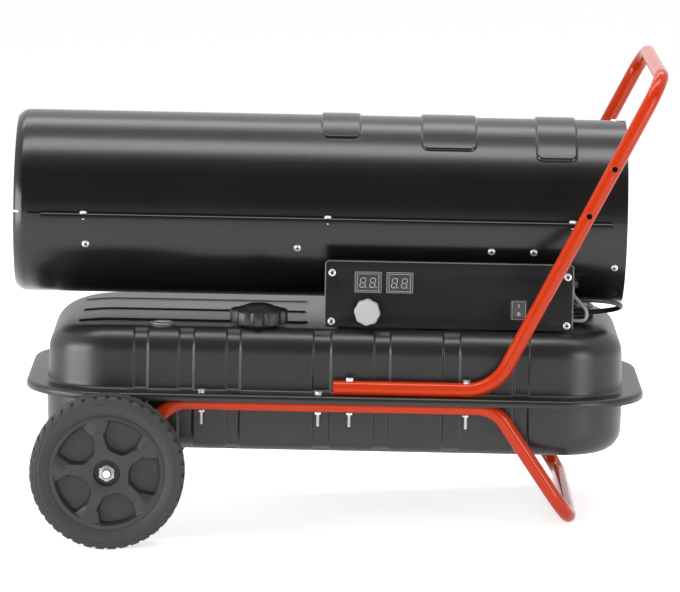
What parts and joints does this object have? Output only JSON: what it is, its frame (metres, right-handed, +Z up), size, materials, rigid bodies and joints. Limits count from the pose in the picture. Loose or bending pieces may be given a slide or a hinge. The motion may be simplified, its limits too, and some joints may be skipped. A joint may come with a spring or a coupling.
{
  "type": "forced air heater",
  "caption": "Wheeled forced-air fuel heater: a burner and fan in a long barrel over a fuel tank, on a tube frame with a push handle, control box and mains lead.",
  "frame": {"origin": "on the floor under the middle of the heater, without its mains lead", "axes": "+X to the rear (intake and handle), -X to the hot-air outlet, -Y the near side with the control panel, +Z up; the machine leans 2.73 degrees to the rear on its wheels and foot"},
  "size_m": [0.8594, 0.4998, 0.5924],
  "materials": {
    "frame_paint": "red-orange gloss powder coat",
    "barrel_paint": "black gloss paint",
    "tank_paint": "black semi-gloss paint",
    "box_paint": "black satin paint",
    "zinc": "bright zinc plate",
    "hot_steel": "heat-dulled steel",
    "brass": "machined brass",
    "ceramic": "glazed ceramic",
    "aluminium": "cast aluminium",
    "motor_paint": "grey paint",
    "black_plastic": "moulded black plastic",
    "display": "dark window in a grey bezel",
    "knob_grey": "light grey moulded plastic",
    "steel": "plated steel",
    "gauge_glass": "clear lens",
    "pointer_red": "red pointer",
    "board_green": "green circuit board",
    "hose": "grey rubber",
    "cord": "black rubber",
    "wheel_plastic": "dark grey moulded plastic",
    "tyre": "dark grey rubber"
  },
  "bodies": {
    "root": {"frame_tube": "frame_paint", "handle_tube": "frame_paint", "handle_plugs": "black_plastic", "rivet_nuts": "zinc", "flange_bolts": "zinc", "axle": "zinc", "axle_nuts": "zinc", "tank_upper": "tank_paint", "tank_lower": "tank_paint", "drain_plug": "zinc", "filler_neck": "steel", "filler_strainer": "steel", "gauge_case": "steel", "gauge_lens": "gauge_glass", "upper_shell": "barrel_paint", "lower_shell": "barrel_paint", "barrel_screws": "zinc", "barrel_saddles": "barrel_paint", "combustion_chamber": "hot_steel", "chamber_brackets": "zinc", "flame_disc": "hot_steel", "burner_head": "hot_steel", "fuel_nozzle": "brass", "spark_electrodes": "ceramic", "flame_sensor": "black_plastic", "motor_housing": "motor_paint", "motor_bracket": "zinc", "air_pump": "aluminium", "pump_filter_cover": "black_plastic", "intake_guard": "zinc", "control_box": "box_paint", "control_panel": "box_paint", "panel_screws": "zinc", "display_left": "display", "display_right": "display", "circuit_board": "board_green", "ignition_transformer": "black_plastic", "thermostat_base": "black_plastic", "switch_frame": "black_plastic", "fuel_line": "hose", "fuel_fittings": "brass", "burner_pipe": "brass", "strain_relief": "black_plastic", "mains_coil": "cord", "mains_lead": "cord", "mains_tail": "cord", "mains_plug": "cord"},
    "wheel_near": {"wheel_hub_near": "wheel_plastic", "tyre_near": "tyre"},
    "wheel_far": {"wheel_hub_far": "wheel_plastic", "tyre_far": "tyre"},
    "fan_rotor": {"fan": "aluminium", "motor_shaft": "aluminium"},
    "thermostat": {"thermostat_knob": "knob_grey", "thermostat_spindle": "steel"},
    "switch_rocker": {"rocker": "black_plastic"},
    "cap_plug": {"cap_liner": "black_plastic"},
    "cap": {"fuel_cap": "black_plastic"},
    "gauge_needle": {"gauge_pointer": "pointer_red"},
    "fuel_float": {"float_arm": "black_plastic"}
  },
  "joints": [
    {"name": "near_wheel_spin", "type": "hinge", "parent": "root", "child": "wheel_near", "pos_m": [-0.3076, 0, 0.1], "axis": [0, -1, 0], "continuous": true},
    {"name": "far_wheel_spin", "type": "hinge", "parent": "root", "child": "wheel_far", "pos_m": [-0.3076, 0, 0.1], "axis": [0, -1, 0], "continuous": true},
    {"name": "fan_spin", "type": "hinge", "parent": "root", "child": "fan_rotor", "pos_m": [0.14713, 0, 0.39869], "axis": [0.9989, 0, -0.0476], "continuous": true},
    {"name": "thermostat_turn", "type": "hinge", "parent": "root", "child": "thermostat", "pos_m": [0.03288, -0.135, 0.2847], "axis": [0, 1, 0], "range_deg": [0, 300]},
    {"name": "switch_rock", "type": "hinge", "parent": "root", "child": "switch_rocker", "pos_m": [0.23011, -0.134, 0.2806], "axis": [0.9989, 0, -0.0476], "range_deg": [0, 20]},
    {"name": "cap_lift", "type": "slide", "parent": "root", "child": "cap_plug", "axis": [0.0476, 0, 0.9989], "range_m": [0, 0.02]},
    {"name": "cap_turn", "type": "hinge", "parent": "cap_plug", "child": "cap", "pos_m": [-0.10889, -0.115, 0.26773], "axis": [0.0476, 0, 0.9989], "range_deg": [0, 90]},
    {"name": "float_swing", "type": "hinge", "parent": "root", "child": "fuel_float", "pos_m": [-0.23796, -0.13, 0.19579], "axis": [0, -1, 0], "range_deg": [0, 80]},
    {"name": "needle_turn", "type": "hinge", "parent": "root", "child": "gauge_needle", "pos_m": [-0.23425, -0.13, 0.2737], "axis": [-0.0476, 0, -0.9989], "range_deg": [0, 160]}
  ],
  "couplings": [
    {"joint": "needle_turn", "follows": "float_swing", "ratio": 2}
  ]
}
